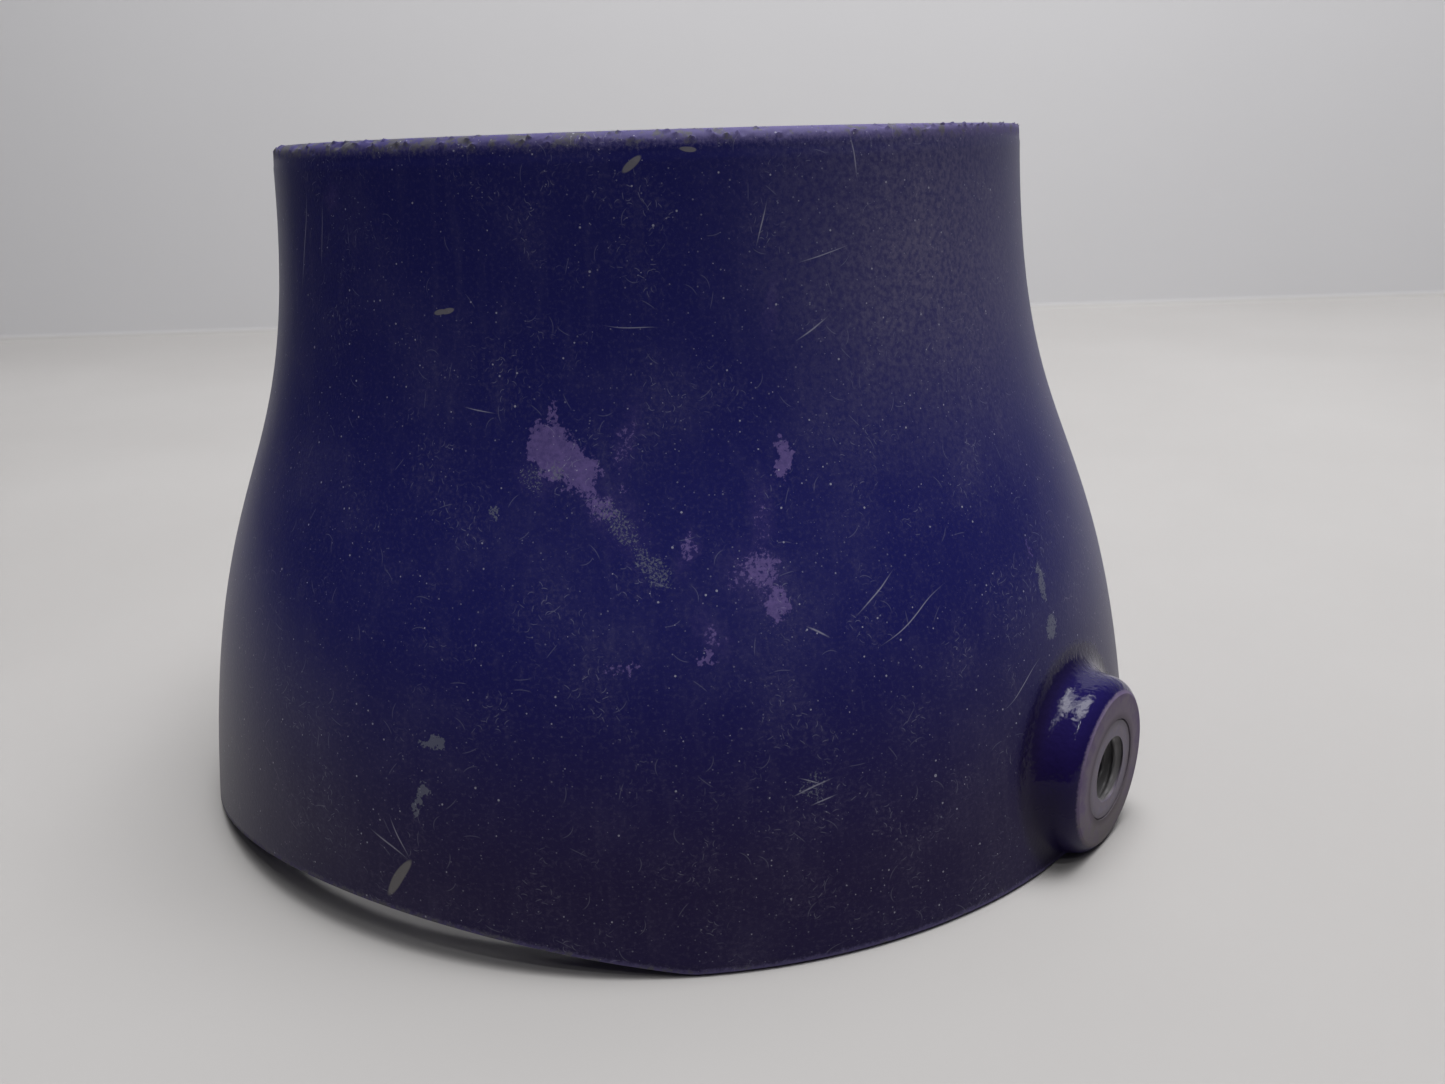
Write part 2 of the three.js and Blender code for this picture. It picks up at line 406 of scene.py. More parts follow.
bpy.ops.object.mode_set(mode="EDIT")
print("Edges cut:", pick(bell, "EDGE", on_edge_ring))
bpy.ops.mesh.subdivide(number_cuts=3)
mesh = bmesh.from_edit_mesh(bell.data)
for point in mesh.verts:
    place = point.co
    reach = place.xy.length
    inward, down = edge_centre.x - reach, edge_centre.y - place.z
    if down > WORN_DOWN or inward > WORN_INWARD:
        continue
    turn = abs((math.atan2(place.y, place.x) - SHARP_TURN + math.pi) % (2 * math.pi) - math.pi)
    sharpened = (EDGE_RADIUS - SHARP_RADIUS) * smooth_step(turn, ROUND_FROM, SHARP_HALF)
    corner = math.atan2(max(0.0, -down), max(1e-9, -inward))
    fade = min(1.0, 1 - down / WORN_DOWN, 1 - inward / WORN_INWARD)
    reach += sharpened * (1 - math.cos(corner)) * fade
    rise = sharpened * (1 - math.sin(corner)) * fade
    at_edge = math.sin(2 * corner) ** 0.5 if 0 < corner < math.pi / 2 else 0.0
    spot = place / MM
    burr = rough_spots(spot, 1.7, 0.3, 2.2 * BURR_HEIGHT)
    chip = rough_spots(spot, 0.8, 0.35, 2.5 * CHIP_DEPTH, seed=(9, 4, 2))
    lift = (burr - chip) * at_edge
    reach += lift * 0.5
    along = place.xy.normalized() * reach
    point.co = (along.x, along.y, place.z + rise + lift)
bmesh.update_edit_mesh(bell.data)
clear_selection()

# %% [markdown]
# ## Trim the rim, close it and lift the arches
# One bisect cuts the bell and both bosses flush at the rim's plane. Three more bisects, just above it, add
# rings that are drawn in a little, so the rim's edges are rounded and catch light. The bottom is filled,
# and then the rim is lifted into a shallow arch on each side between the bosses.

# %% Trim and round the rim
RIM_EDGE = 0.45 * MM
RIM_CUTS = (0.12, 0.45, 1.0)  # as shares of the rounded edge
bpy.ops.object.mode_set(mode="EDIT")
bpy.ops.mesh.select_all(action="SELECT")
bpy.ops.mesh.bisect(plane_co=(0, 0, 0), plane_no=(0, 0, 1), clear_inner=True)
for share in RIM_CUTS:
    bpy.ops.mesh.select_all(action="SELECT")
    bpy.ops.mesh.bisect(plane_co=(0, 0, RIM_EDGE * share), plane_no=(0, 0, 1))
bpy.ops.mesh.select_all(action="SELECT")
bpy.ops.mesh.normals_make_consistent(inside=False)
mesh = bmesh.from_edit_mesh(bell.data)
mesh.normal_update()
for point in mesh.verts:
    if point.co.z < RIM_EDGE:
        outward = Vector((point.normal.x, point.normal.y, 0))
        drawn_in = RIM_EDGE - math.sqrt(max(0.0, RIM_EDGE**2 - (RIM_EDGE - point.co.z) ** 2))
        point.co -= outward * drawn_in
bmesh.update_edit_mesh(bell.data)
print("Rim loop edges:", pick(bell, "EDGE", lambda edge: edge.is_boundary))
bpy.ops.mesh.fill(use_beauty=True)

# %% Lift the arches
ARCH_RISE = 4.05 * MM
ARCH_HALF_CHORD = 34.4 * MM
ARCH_TURN = math.radians(7)  # the crown's turn from the middle between the bosses
ARCH_FADE = 30 * MM  # above this height nothing moves
ARCH_RADIUS = (ARCH_HALF_CHORD**2 + ARCH_RISE**2) / (2 * ARCH_RISE)


def arch_height(place):
    """How far the rim is lifted at a place round the bell. Both arches have the same shape."""
    turn = math.atan2(place.x, -place.y) - ARCH_TURN
    chord = RIM_RADIUS * math.sin(turn)
    if abs(chord) > ARCH_HALF_CHORD:
        return 0.0
    return ARCH_RISE - ARCH_RADIUS + math.sqrt(ARCH_RADIUS**2 - chord**2)


mesh = bmesh.from_edit_mesh(bell.data)
for point in mesh.verts:
    place = point.co
    if place.z < ARCH_FADE and boss_distance(place) > PATCH_HALF_HEIGHT:
        lift = arch_height(place) * (1 - place.z / ARCH_FADE) ** 2
        grow = outer_radius(place.z + lift) / outer_radius(place.z)
        point.co = (place.x * grow, place.y * grow, place.z + lift)
bpy.ops.mesh.select_all(action="SELECT")
bpy.ops.mesh.normals_make_consistent(inside=False)
bmesh.update_edit_mesh(bell.data)
heights = [point.co.z / MM for point in mesh.verts]
print("Lowest and highest point:", round(min(heights), 2), round(max(heights), 2))
clear_selection()

# %% [markdown]
# ## Pockets for the inserts
# Both inserts lie on one line, so one long round cutter makes both pockets with a Boolean.

# %% Cut the pockets
POCKET_RADIUS = 5.61 * MM
cutter = start_piece(
    "pocket_cutter",
    bpy.ops.mesh.primitive_cylinder_add,
    vertices=96,
    radius=POCKET_RADIUS,
    depth=3 * BOSS_FACE,
    location=(0, 0, BOSS_HEIGHT),
    rotation=(0, math.pi / 2, 0),
)
clear_selection()
apply_modifier(bell, "BOOLEAN", object=cutter, operation="DIFFERENCE", solver="EXACT")
bpy.data.objects.remove(cutter)
bpy.ops.object.shade_smooth_by_angle(angle=math.radians(24))
print("Bell:", len(bell.data.polygons), "faces")
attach(bell, "root")
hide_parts("nozzle_shell")

# %% [markdown]
# ## The threaded inserts
# Each insert is a metal tube with an M8 thread, moulded into its boss. It is extruded as a chain of
# rings: chamfered mouth, front face, grooved outside, back face and bore. The thread is then cut by
# moving the bore's points outwards, in a groove that climbs one pitch for each turn.

# %% Inserts
BORE_RADIUS = 3.37 * MM
THREAD_PITCH = 1.25 * MM
THREAD_DEPTH = 0.6 * MM
RINGS_PER_PITCH = 10
INSERT_SIDES = 64
INSERT_RADIUS = 5.6 * MM
MOUTH_CHAMFER = 0.3 * MM
EDGE_CHAMFER = 0.14 * MM
LOCK_GROOVE = 0.8 * MM  # the outside groove's depth, and half of its width
THREAD_FLOOR = 0.8  # the thread's groove opens at this distance from its middle, in half pitches
THREAD_FLANK = 0.62  # and it takes this much to reach its full depth


def insert_rings():
    """(radius, distance from the bell's axis) of each ring, from the front mouth round to the bore's end."""
    middle = (INSERT_FRONT + INSERT_BACK) / 2
    rings = [(BORE_RADIUS + MOUTH_CHAMFER, INSERT_FRONT), (INSERT_RADIUS - EDGE_CHAMFER, INSERT_FRONT)]
    rings += [(INSERT_RADIUS, INSERT_FRONT - EDGE_CHAMFER), (INSERT_RADIUS, middle + LOCK_GROOVE)]
    rings += [(INSERT_RADIUS - LOCK_GROOVE, middle + LOCK_GROOVE)]
    rings += [(INSERT_RADIUS - LOCK_GROOVE, middle - LOCK_GROOVE)]
    rings += [(INSERT_RADIUS, middle - LOCK_GROOVE), (INSERT_RADIUS, INSERT_BACK + EDGE_CHAMFER)]
    rings += [(INSERT_RADIUS - EDGE_CHAMFER, INSERT_BACK), (BORE_RADIUS + MOUTH_CHAMFER, INSERT_BACK)]
    start = INSERT_BACK + MOUTH_CHAMFER
    end = INSERT_FRONT - MOUTH_CHAMFER
    steps = round((end - start) / THREAD_PITCH * RINGS_PER_PITCH)
    rings += [(BORE_RADIUS, start + (end - start) * i / steps) for i in range(steps + 1)]
    return rings


def model_insert(name, side):
    rings = insert_rings()
    piece = start_piece(
        name,
        bpy.ops.mesh.primitive_circle_add,
        vertices=INSERT_SIDES,
        radius=rings[0][0],
        location=(side * rings[0][1], 0, BOSS_HEIGHT),
        rotation=(0, math.pi / 2, 0),
    )
    bpy.ops.mesh.select_mode(type="EDGE")
    for (radius, reach), (last_radius, last_reach) in zip(rings[1:], rings):
        move = {"value": (side * (reach - last_reach), 0, 0)}
        bpy.ops.mesh.extrude_edges_move(TRANSFORM_OT_translate=move)
        grow = radius / last_radius
        bpy.ops.transform.resize(value=(1, grow, grow), center_override=(side * reach, 0, BOSS_HEIGHT))
    pick(piece, "EDGE", lambda edge: edge.is_boundary)
    bpy.ops.mesh.bridge_edge_loops()
    mesh = bmesh.from_edit_mesh(piece.data)
    for point in mesh.verts:
        spread = boss_distance(point.co)
        if spread > BORE_RADIUS + 0.02 * MM:
            continue
        turn = math.atan2(point.co.z - BOSS_HEIGHT, point.co.y * side) / (2 * math.pi)
        phase = (abs(point.co.x) / THREAD_PITCH + turn) % 1.0
        share = min(1.0, max(0.0, (THREAD_FLOOR - abs(2 * phase - 1)) / THREAD_FLANK))
        grow = 1 + THREAD_DEPTH * share / spread
        point.co.y *= grow
        point.co.z = BOSS_HEIGHT + (point.co.z - BOSS_HEIGHT) * grow
    bpy.ops.mesh.select_all(action="SELECT")
    bpy.ops.mesh.normals_make_consistent(inside=False)
    bmesh.update_edit_mesh(piece.data)
    clear_selection()
    piece.select_set(True)
    bpy.context.view_layer.objects.active = piece
    bpy.ops.object.shade_smooth_by_angle(angle=math.radians(25))
    return piece


inserts = []
for name, side in (("threaded_insert_right", 1), ("threaded_insert_left", -1)):
    insert = model_insert(name, side)
    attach(insert, "root")
    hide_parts(name.replace("threaded", "pivot"))
    inserts.append(insert)
    print(name, len(insert.data.polygons), "faces")

# %% [markdown]
# ## Where the wear goes
# Wear follows the shape: edges rub pale, the inside stays dull. The finish can't see the shape by itself,
# so two numbers are stored at every point of the bell: how close it is to a rubbed edge, and whether it
# lies on the inside.

# %% Store the wear on the bell
WEAR_REACH = 1.3 * MM
WALL_END = OUTLET_RADIUS - 1.8 * MM  # inside this radius the outlet's top is the flat end of the wall
INSIDE_DEPTH = 2.5 * MM
edge_wear = bell.data.attributes.new("edge_wear", "FLOAT", "POINT")
inside = bell.data.attributes.new("inside", "FLOAT", "POINT")
for number, point in enumerate(bell.data.vertices):
    place = point.co
    reach = math.hypot(place.x, place.y)
    rim = arch_height(place) if boss_distance(place) > PATCH_HALF_HEIGHT else 0.0
    below_outlet = HEIGHT - place.z
    above_rim = place.z - rim
    outlet_wear = 1 - below_outlet / (2 * WEAR_REACH)
    if reach < WALL_END:
        outlet_wear *= 0.5  # the flat end is rubbed in patches only
    wear = max(0.0, outlet_wear, 1 - above_rim / WEAR_REACH)
    edge_wear.data[number].value = min(1.0, wear)
    inside.data[number].value = 1.0 if reach < outer_radius(place.z) - INSIDE_DEPTH else 0.0
print("Rubbed points:", sum(1 for value in edge_wear.data if value.value > 0.5))

# %% [markdown]
# ## A short hand for shader nodes
# A worn surface needs many small nodes. This class adds one with a single short call, and takes either a
# number or another node's output for every input, so that a finish reads as a recipe.


# %% Shader short hand
class Finish:
    """A material, with short calls that add its nodes."""

    def __init__(self, name):
        self.material = bpy.data.materials.new(name)
        self.material.use_nodes = True
        self.tree = self.material.node_tree
        self.shader = self.tree.nodes["Principled BSDF"]

    def feed(self, socket, value):
        if isinstance(value, bpy.types.NodeSocket):
            self.tree.links.new(value, socket)
        else:
            socket.default_value = value

    def add(self, kind, inputs, output=0, **settings):
        node = self.tree.nodes.new("ShaderNode" + kind)
        for key, value in settings.items():
            setattr(node, key, value)
        for key, value in inputs.items():
            self.feed(node.inputs[key], value)
        return node.outputs[output]

    def math(self, operation, *values):
        return self.add("Math", dict(enumerate(values)), operation=operation)

    def plus(self, first, second, factor):
        """The first value, and a share of the second on top of it."""
        return self.math("MULTIPLY_ADD", second, factor, first)

    def times(self, first, *others):
        for other in others:
            first = self.math("MULTIPLY", first, other)
        return first

    def most(self, first, *others):
        for other in others:
            first = self.math("MAXIMUM", first, other)
        return first

    def band(self, value, low, high):
        """0 at low, 1 at high, with a soft step between them. Low may be the larger one."""
        inputs = {"Value": value, "From Min": low, "From Max": high}
        return self.add("MapRange", inputs, interpolation_type="SMOOTHSTEP")

    def noise(self, vector, scale, detail=2.0, roughness=0.5, distortion=0.0):
        inputs = {"Vector": vector, "Scale": scale, "Detail": detail}
        inputs.update({"Roughness": roughness, "Distortion": distortion})
        return self.add("TexNoise", inputs)

    def blend(self, share, first, second):
        return self.add("Mix", {0: share, 6: first, 7: second}, output=2, data_type="RGBA")

    def ellipse(self, vector, middle, size, turn=0.0):
        """How far out in an ellipse the vector lies: 0 in its middle and 1 on its edge."""
        middle = Vector((*middle, 0))
        angle = math.radians(turn)
        along = Vector((math.cos(angle), math.sin(angle), 0)) / size[0]
        across = Vector((-math.sin(angle), math.cos(angle), 0)) / size[1]
        parts = {}
        for axis, direction in enumerate((along, across)):
            inputs = {0: vector, 1: direction}
            parts[axis] = self.add("VectorMath", inputs, output="Value", operation="DOT_PRODUCT")
        inputs = {0: self.add("CombineXYZ", parts), 1: (middle.dot(along), middle.dot(across), 0)}
        return self.add("VectorMath", inputs, output="Value", operation="DISTANCE")

    def from_boss_axis(self, y, height):
        """How far a place is from the line through both bosses, in mm."""
        inputs = {1: y, 2: self.math("SUBTRACT", height, BOSS_HEIGHT / MM)}
        across = self.add("CombineXYZ", inputs)
        return self.add("VectorMath", {0: across}, output="Value", operation="LENGTH")

    def parts(self, kind, value):
        """The outputs of a node that takes a vector or a colour apart."""
        node = self.tree.nodes.new("ShaderNodeSeparate" + kind)
        self.feed(node.inputs[0], value)
        return node.outputs

    def spot(self, unit):
        """The place on the piece, in some unit of length."""
        place = self.add("TexCoord", {}, output="Object")
        return self.add("VectorMath", {0: place, "Scale": 1 / unit}, operation="SCALE")

    def coat(self, *pieces):
        for piece in pieces:
            piece.data.materials.clear()
            piece.data.materials.append(self.material)


# %% [markdown]
# ## Dark violet plastic, long in use
# The plastic is dyed all through, so it can't flake. What shows is what use does to it: a thin film of
# dried spray and dust, pale where it is scuffed, fine scratches and fibres, rubbed edges, and a clean
# gloss that only survives on the sides of the bosses. Marks are placed on the skin by two numbers, the
# degrees round the bell from its front and the height in millimetres, as on a map.
# The film's pale tint is also used for painted sheen on the flanks and a painted highlight on one shoulder.

# %% Plastic: the map of the skin
# The painted sheen on the flanks and the painted light from the right are both measured round the bell from
# this front.
FRONT = math.radians(-51)  # polar angle of the bell's most weathered side, which is its front here
MM_PER_RADIAN = 52.0  # the map's scale round the bell, at its middle radius
violet = Finish("shell_plastic")
place = violet.spot(MM)
x, y, height = violet.parts("XYZ", place)
round_angle = violet.math("SUBTRACT", violet.math("ARCTAN2", y, x), FRONT)
around = violet.times(round_angle, MM_PER_RADIAN)
skin = violet.add("CombineXYZ", {0: around, 1: height})


def on_map(degrees, height_mm):
    return (math.radians(degrees) * MM_PER_RADIAN, height_mm)


# %% [markdown]
# Grit drags over the small hills of a surface and misses its valleys, so a scuff is solid in its middle and
# crumbles into specks at its edge. Each scuff here is an ellipse on the map that only says how hard it was
# rubbed. One shared field of crumbs then decides, everywhere at once, which spots were rubbed through.

# %% Plastic: scuffs
CRUMBS_RUBBED = 0.62  # how far the hardest rubbing lifts the crumbs over the line where they show
CRUMBS_LINE = 0.86
CRUMBS_PER_MM = 2.3
FINE_CRUMBS_PER_MM = 4.2


def pushed_skin(reach, per_mm, **look):
    """The map, pushed about by noise over a reach in mm, so that no mark keeps the outline of an ellipse."""
    push = violet.add("TexNoise", {"Vector": skin, "Scale": per_mm, **look}, output="Color")
    push = violet.add("VectorMath", {0: push, 1: (-0.5, -0.5, -0.5)}, operation="ADD")
    push = violet.add("VectorMath", {0: push, "Scale": reach}, operation="SCALE")
    return violet.add("VectorMath", {0: skin, 1: push}, operation="ADD")


ragged_skin = pushed_skin(3.6, 0.55, Detail=3.0, Roughness=0.7)
crumbs = violet.noise(skin, CRUMBS_PER_MM, detail=4.0, roughness=0.75)


def scuffs(marks, grit):
    """Each mark is degrees, height, length, width, turn and how hard it was rubbed, from 0 to 1."""
    rubbing = 0.0
    for degrees, height_mm, length, width, turn, hard in marks:
        out = violet.ellipse(ragged_skin, on_map(degrees, height_mm), (length / 2, width / 2), turn)
        body = violet.times(violet.band(out, 1.35, 0.35), hard)
        rubbing = violet.most(body, rubbing)
    lifted = violet.plus(grit, rubbing, CRUMBS_RUBBED)
    return violet.band(lifted, CRUMBS_LINE, CRUMBS_LINE + 0.08)


pale_scuffs = scuffs([
    (-10.2, 47.9, 6.6, 5.4, -60, 1.0),
    (-7.0, 46.2, 7.0, 4.6, -55, 0.95),
    (-4.9, 43.6, 6.5, 3.2, -50, 0.7),
    (-9.7, 51.0, 3.4, 2.2, 80, 0.7),
    (-1.6, 48.6, 7.5, 2.6, 72, 0.56),
    (-1.8, 44.5, 2.4, 1.4, 20, 0.6),
    (4.4, 39.4, 4.4, 1.6, 68, 0.66),
    (15.7, 46.2, 5.2, 2.4, 76, 0.9),
    (12.4, 41.0, 7.0, 2.6, 82, 0.5),
    (11.8, 37.0, 5.0, 5.0, -30, 0.72),
    (13.2, 34.0, 4.6, 2.6, -78, 0.85),
    (9.2, 36.6, 4.0, 2.4, 60, 0.55),
    (6.6, 31.8, 4.0, 2.4, -62, 0.62),
    (5.8, 29.9, 2.6, 1.2, -55, 0.9),
    (-2.4, 29.3, 6.0, 1.8, 8, 0.6),
    (47.4, 33.2, 3.6, 2.0, 90, 0.6),
    (112.0, 38.0, 7.0, 3.0, 62, 0.8),
    (126.0, 24.0, 5.0, 2.4, -35, 0.75),
    (158.0, 50.0, 8.0, 3.4, -58, 0.9),
    (163.0, 44.0, 5.0, 2.0, -50, 0.66),
    (196.0, 33.0, 6.0, 4.0, 30, 0.8),
    (-88.0, 41.0, 6.0, 2.6, 70, 0.8),
], crumbs)
fine_crumbs = violet.noise(skin, FINE_CRUMBS_PER_MM, detail=3.0, roughness=0.7)
grey_scuffs = scuffs([
    (-12.0, 45.4, 4.0, 4.0, 0, 0.55),
    (-9.4, 46.2, 2.6, 2.0, -40, 0.66),
    (-2.6, 41.6, 9.0, 3.6, -48, 0.6),
    (0.9, 38.0, 7.0, 2.8, -52, 0.62),
    (48.3, 29.8, 5.0, 1.6, 84, 0.8),
    (48.3, 25.0, 3.4, 2.2, 60, 0.8),
    (-16.2, 42.4, 1.8, 1.6, 0, 0.7),
    (-21.3, 21.8, 3.0, 1.4, 15, 0.95),
    (-22.6, 16.0, 5.2, 1.0, 76, 0.9),
    (15.0, 17.2, 4.0, 3.0, 30, 0.55),
    (172.0, 38.5, 7.0, 2.6, -48, 0.7),
    (140.0, 58.0, 5.0, 2.0, 80, 0.7),
    (-80.0, 22.0, 5.0, 2.4, 40, 0.75),
], fine_crumbs)

# %% [markdown]
# Beside the crumbly scuffs there are smears, where something softer wiped over the skin. They stay faint
# and have no crumbs at all.

# %% Plastic: smears
smears = 0.0
for degrees, height_mm, length, width, turn in [
    (-1.4, 48.8, 9.0, 2.6, 72),
    (12.6, 41.5, 10.0, 3.6, 84),
    (11.2, 36.6, 8.0, 7.0, -40),
    (4.4, 39.0, 5.5, 2.4, 66),
    (6.4, 32.0, 6.0, 3.4, -60),
    (-3.0, 42.0, 13.0, 5.0, -50),
    (-11.4, 45.8, 6.0, 5.0, 0),
    (-43.0, 70.5, 4.0, 3.0, 20),
    (16.0, 60.0, 7.0, 2.2, 78),
]:
    out = violet.ellipse(ragged_skin, on_map(degrees, height_mm), (length / 2, width / 2), turn)
    smears = violet.most(violet.band(out, 1.2, 0.1), smears)

# %% [markdown]
# A scratch is an ellipse too, with a tiny width and no crumbs. Dry husks and flakes that stuck to the skin
# are short, wide ones with a crisp edge.

# %% Plastic: scratches and husks
bent_skin = pushed_skin(1.6, 0.12, Detail=1.0)


def streaks(marks, fade_from):
    """Each mark is its two ends, as degrees and height, and its width in mm."""
    field = 0.0
    for start, end, width in marks:
        first, last = Vector(on_map(*start)), Vector(on_map(*end))
        along = last - first
        turn = math.degrees(math.atan2(along.y, along.x))
        middle = (first + last) / 2
        out = violet.ellipse(bent_skin, middle, (along.length / 2, width / 2), turn)
        field = violet.most(violet.band(out, 1.0, fade_from), field)
    return field


scratches = streaks([
    ((18.4, 56.6), (23.6, 59.0), 0.2),
    ((13.9, 65.1), (16.2, 69.8), 0.2),
    ((27.2, 75.2), (28.0, 70.6), 0.22),
    ((22.3, 28.7), (33.5, 33.1), 0.2),
    ((20.6, 32.0), (27.0, 35.6), 0.2),
    ((15.9, 31.8), (18.4, 30.4), 0.26),
    ((37.0, 19.4), (46.0, 22.6), 0.16),
    ((-49.6, 72.2), (-53.6, 60.1), 0.26),
    ((-45.4, 71.0), (-46.6, 63.0), 0.16),
    ((-21.0, 51.6), (-16.5, 51.2), 0.16),
    ((12.6, 16.6), (17.4, 18.2), 0.24),
    ((13.6, 18.6), (16.4, 17.4), 0.16),
    ((14.4, 15.6), (17.6, 16.6), 0.18),
    ((-28.6, 12.2), (-24.0, 9.4), 0.24),
    ((-26.2, 13.8), (-24.0, 9.4), 0.18),
    ((-4.0, 59.0), (3.0, 58.4), 0.14),
    ((19.0, 63.5), (27.0, 65.0), 0.14),
    ((104.0, 30.0), (118.0, 35.0), 0.2),
    ((150.0, 60.0), (158.0, 66.0), 0.18),
    ((182.0, 20.0), (190.0, 26.0), 0.2),
    ((-96.0, 55.0), (-86.0, 50.0), 0.2),
], 0.2)
husks = streaks([
    ((-23.9, 9.8), (-26.9, 5.6), 1.0),
    ((-25.1, 60.0), (-23.3, 60.3), 0.6),
    ((-24.2, 60.1), (-22.3, 60.4), 0.64),
    ((-1.2, 72.0), (1.6, 73.6), 0.9),
    ((5.6, 73.9), (7.8, 73.7), 0.5),
], 0.75)

# %% [markdown]
# Short pale fibres and grains of dust lie all over the skin. A Voronoi texture cuts the map into small
# cells, and each cell draws one fibre of its own, turned by the cell's random colour and slightly curved.
# They lie in loose groups, as they do where spray dried last.


# %% Plastic: fibres and dust
def cell_pattern(vector, scale, dimensions):
    """The outputs of Voronoi cells, and three random numbers for each cell."""
    cells = violet.tree.nodes.new("ShaderNodeTexVoronoi")
    cells.voronoi_dimensions = dimensions
    violet.feed(cells.inputs["Vector"], vector)
    violet.feed(cells.inputs["Scale"], scale)
    return cells.outputs, violet.parts("Color", cells.outputs["Color"])


def fibres(scale, length, width, share, seed):
    """One curved line in some of the cells. Length and width are in cells, share is how many have one."""
    shifted = violet.add("VectorMath", {0: skin, 1: (seed, 2.3 * seed, 0)}, operation="ADD")
    cells, chance = cell_pattern(shifted, scale, "2D")
    local = violet.add("VectorMath", {0: shifted, 1: cells["Position"]}, operation="SUBTRACT")
    local = violet.add("VectorMath", {0: local, "Scale": scale}, operation="SCALE")
    turn = violet.times(chance[0], 2 * math.pi)
    local = violet.add("VectorRotate", {"Vector": local, "Angle": turn}, rotation_type="Z_AXIS")
    along, across = violet.parts("XYZ", local)[:2]
    curl = violet.times(violet.math("SUBTRACT", chance[1], 0.5), 3.0)
    curved = violet.math("SUBTRACT", across, violet.times(curl, along, along))
    line = violet.band(violet.math("ABSOLUTE", curved), width, width * 0.4)
    ends = violet.band(violet.math("ABSOLUTE", along), length, length * 0.5)
    return violet.times(line, ends, violet.math("LESS_THAN", chance[2], share))


def grains(scale, size, share):
    """Round specks. Size is in cells, and share is how many cells have one."""
    cells, chance = cell_pattern(place, scale, "3D")
    speck = violet.math("LESS_THAN", cells["Distance"], violet.times(chance[1], size))
    return violet.times(speck, violet.math("LESS_THAN", chance[0], share))


groups = violet.band(violet.noise(place, 0.16, detail=2.0), 0.5, 0.68)
short_fibres = violet.times(fibres(1.15, 0.42, 0.055, 0.55, 71.0), groups)
fibre_field = violet.most(violet.times(short_fibres, 1.6), fibres(0.33, 0.3, 0.018, 0.3, 11.0))
small_grains = violet.times(grains(2.3, 0.2, 0.45), 0.45)
grain_field = violet.most(small_grains, grains(1.3, 0.15, 0.25), grains(0.4, 0.065, 0.35))

# %% [markdown]
# The film of dried spray is thin and mottled, and it has faint upright runs, because water ran down
# through it. It is thicker on one shoulder, where its tint also paints a soft highlight. Towards the
# flanks, as seen from the front, and more on the right, the same tint is painted sheen.

# %% Plastic: the dusty film
flecks = violet.noise(place, 1.9, detail=3.0, roughness=0.65)
clouds = violet.noise(place, 0.085, detail=3.0, roughness=0.55)
runs = violet.add("VectorMath", {0: place, 1: (0.7, 0.7, 0.05)}, operation="MULTIPLY")
runs = violet.noise(runs, 1.0, detail=2.0)
# the shoulder's thicker film is dust, and it also paints a soft highlight high on the right
shoulder_haze_and_highlight = violet.band(violet.ellipse(skin, on_map(44, 66), (36, 29)), 1.0, 0.1)
# painted sheen: the pale tint grows towards the flanks, as seen from the front, more on the right
painted_flank_sheen = violet.band(violet.math("COSINE", round_angle), 0.55, 0.0)
painted_flank_sheen = violet.times(painted_flank_sheen, violet.band(violet.math("COSINE", round_angle), -0.85, -0.2))
painted_flank_sheen = violet.times(painted_flank_sheen, violet.plus(0.24, violet.math("SINE", round_angle), 0.17))
sheen_and_film_depth = violet.plus(painted_flank_sheen, shoulder_haze_and_highlight, 0.42)
sheen_and_film_depth = violet.plus(sheen_and_film_depth, violet.band(clouds, 0.42, 0.75), 0.07)
sheen_and_film_depth = violet.plus(sheen_and_film_depth, violet.band(runs, 0.5, 0.8), 0.05)
mottle = violet.plus(0.36, violet.band(flecks, 0.32, 0.7), 0.6)
dusting = violet.plus(crumbs, groups, 0.05)
dusting = violet.times(violet.band(dusting, 0.48, 0.78), 0.13)
specks = violet.band(violet.plus(fine_crumbs, clouds, 0.3), 0.8, 0.92)
dusting = violet.plus(dusting, specks, 0.2)
film_and_sheen = violet.math("ADD", dusting, violet.times(sheen_and_film_depth, mottle))

# %% [markdown]
# The sides of the bosses are clean and glossy, and their flat faces are cut matt and have gone grey.
# Everything is then laid on top of the dyed plastic in the order in which it happened, and painted
# shade darkens the crease round the foot of each boss.

# %% Plastic: bosses, edges and inside
GLOSS_END = 15.2  # in mm from the boss axis, where the gloss ends and where it is full
GLOSS_FULL = 12.2
from_axis = violet.from_boss_axis(y, height)
out_on_x = violet.math("ABSOLUTE", x)
boss_side = violet.band(out_on_x, 50.0, 52.0)  # true this far out only, where the bosses are
wobble = violet.times(violet.noise(place, 0.5, detail=3.0), 2.4)
near_boss = violet.band(violet.math("ADD", from_axis, wobble), GLOSS_END, GLOSS_FULL)
near_boss = violet.times(near_boss, boss_side)
worn_out_on_x = violet.plus(out_on_x, violet.math("SUBTRACT", crumbs, 0.5), 0.35)
boss_face = violet.band(worn_out_on_x, BOSS_FACE / MM - 0.3, BOSS_FACE / MM - 0.08)
clean_gloss = violet.times(near_boss, violet.math("SUBTRACT", 1.0, boss_face))
boss_face = violet.times(boss_face, near_boss)
clean_gloss = violet.times(clean_gloss, violet.band(violet.math("ADD", height, wobble), 7.0, 12.5))
is_inside = violet.add("Attribute", {}, output="Fac", attribute_name="inside")
exposed = violet.math("SUBTRACT", 1.0, violet.most(near_boss, is_inside))
rubbed = violet.add("Attribute", {}, output="Fac", attribute_name="edge_wear")
rubbed = violet.band(violet.plus(rubbed, crumbs, 0.8), 0.75, 1.2)
# painted light from the right: rubbed edges paler on the right, grime darker on the left as painted shade
painted_light_from_right = violet.band(violet.math("SINE", round_angle), -0.8, 0.6)
grime_and_shade_on_left = violet.noise(place, 0.7, detail=4.0, roughness=0.7)
grime_and_shade_on_left = violet.band(violet.plus(grime_and_shade_on_left, painted_light_from_right, -0.09), 0.44, 0.56)

